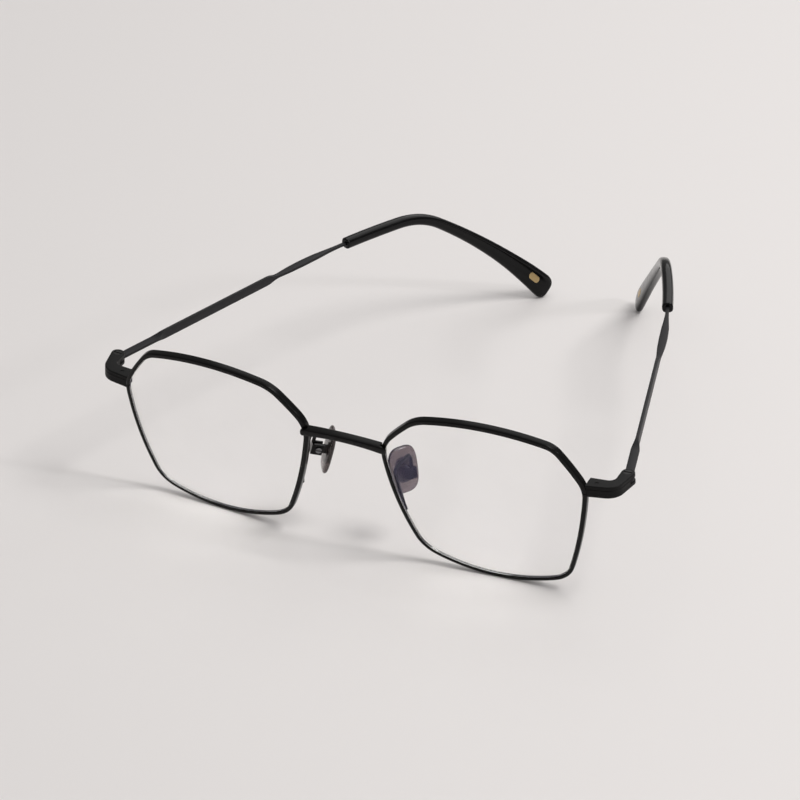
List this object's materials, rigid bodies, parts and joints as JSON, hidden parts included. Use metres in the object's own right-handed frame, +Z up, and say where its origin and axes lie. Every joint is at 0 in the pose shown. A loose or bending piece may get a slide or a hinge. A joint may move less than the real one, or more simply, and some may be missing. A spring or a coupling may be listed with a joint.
{
  "type": "eyeglasses",
  "caption": "Square wire-rim eyeglasses with clear lenses, an arched bridge, rocking nose pads and folding temples with ear tips.",
  "frame": {"origin": "middle of the footprint, on the surface that the open glasses stand on", "axes": "+Z up from that surface, +Y back along the temples from the front to the ear tips, +X toward the wearer's left ear (the right side as seen from in front)"},
  "size_m": [0.1356, 0.1478, 0.0457],
  "materials": {
    "black_metal": "satin black coating",
    "clear_lens": "clear, faint violet reflection",
    "screw_steel": "polished screw heads",
    "washer_plastic": "matte",
    "tip_black": "glossy black acetate",
    "gold_inlay": "plain satin gold",
    "pad_core": "dark core with a tab",
    "pad_clear": "soft translucent grey-brown"
  },
  "bodies": {
    "front": {"rim_left": "black_metal", "rim_right": "black_metal", "lens_left": "clear_lens", "lens_right": "clear_lens", "endpiece_upper_left": "black_metal", "endpiece_upper_right": "black_metal", "endpiece_lower_left": "black_metal", "endpiece_lower_right": "black_metal", "rim_screw_left": "screw_steel", "rim_screw_right": "screw_steel", "hinge_screw_left": "screw_steel", "hinge_screw_right": "screw_steel", "pad_arm_left": "black_metal", "pad_arm_right": "black_metal", "pad_box_left": "black_metal", "pad_box_right": "black_metal", "pad_screw_left": "screw_steel", "pad_screw_right": "screw_steel", "bridge": "black_metal"},
    "temple_left": {"temple_bar_left": "black_metal", "temple_tip_left": "tip_black", "tip_inlay_left": "gold_inlay", "hinge_washers_left": "washer_plastic"},
    "pad_left": {"nose_pad_left": "pad_clear", "pad_core_left": "pad_core"},
    "temple_right": {"temple_bar_right": "black_metal", "temple_tip_right": "tip_black", "tip_inlay_right": "gold_inlay", "hinge_washers_right": "washer_plastic"},
    "pad_right": {"nose_pad_right": "pad_clear", "pad_core_right": "pad_core"}
  },
  "joints": [
    {"name": "temple_left_hinge", "type": "hinge", "parent": "front", "child": "temple_left", "pos_m": [-0.0661, -0.06012, 0.03258], "axis": [-0.061, 0.0419, -0.9973], "range_deg": [-20, 66]},
    {"name": "temple_right_hinge", "type": "hinge", "parent": "front", "child": "temple_right", "pos_m": [0.0661, -0.06012, 0.03258], "axis": [-0.061, -0.0419, 0.9973], "range_deg": [-16, 60]},
    {"name": "pad_left_rock", "type": "hinge", "parent": "front", "child": "pad_left", "pos_m": [-0.01205, -0.06123, 0.0215], "axis": [0.5299, -0.848, 0], "range_deg": [-8, 8]},
    {"name": "pad_right_rock", "type": "hinge", "parent": "front", "child": "pad_right", "pos_m": [0.01205, -0.06123, 0.0215], "axis": [-0.5299, -0.848, 0], "range_deg": [-8, 8]}
  ]
}
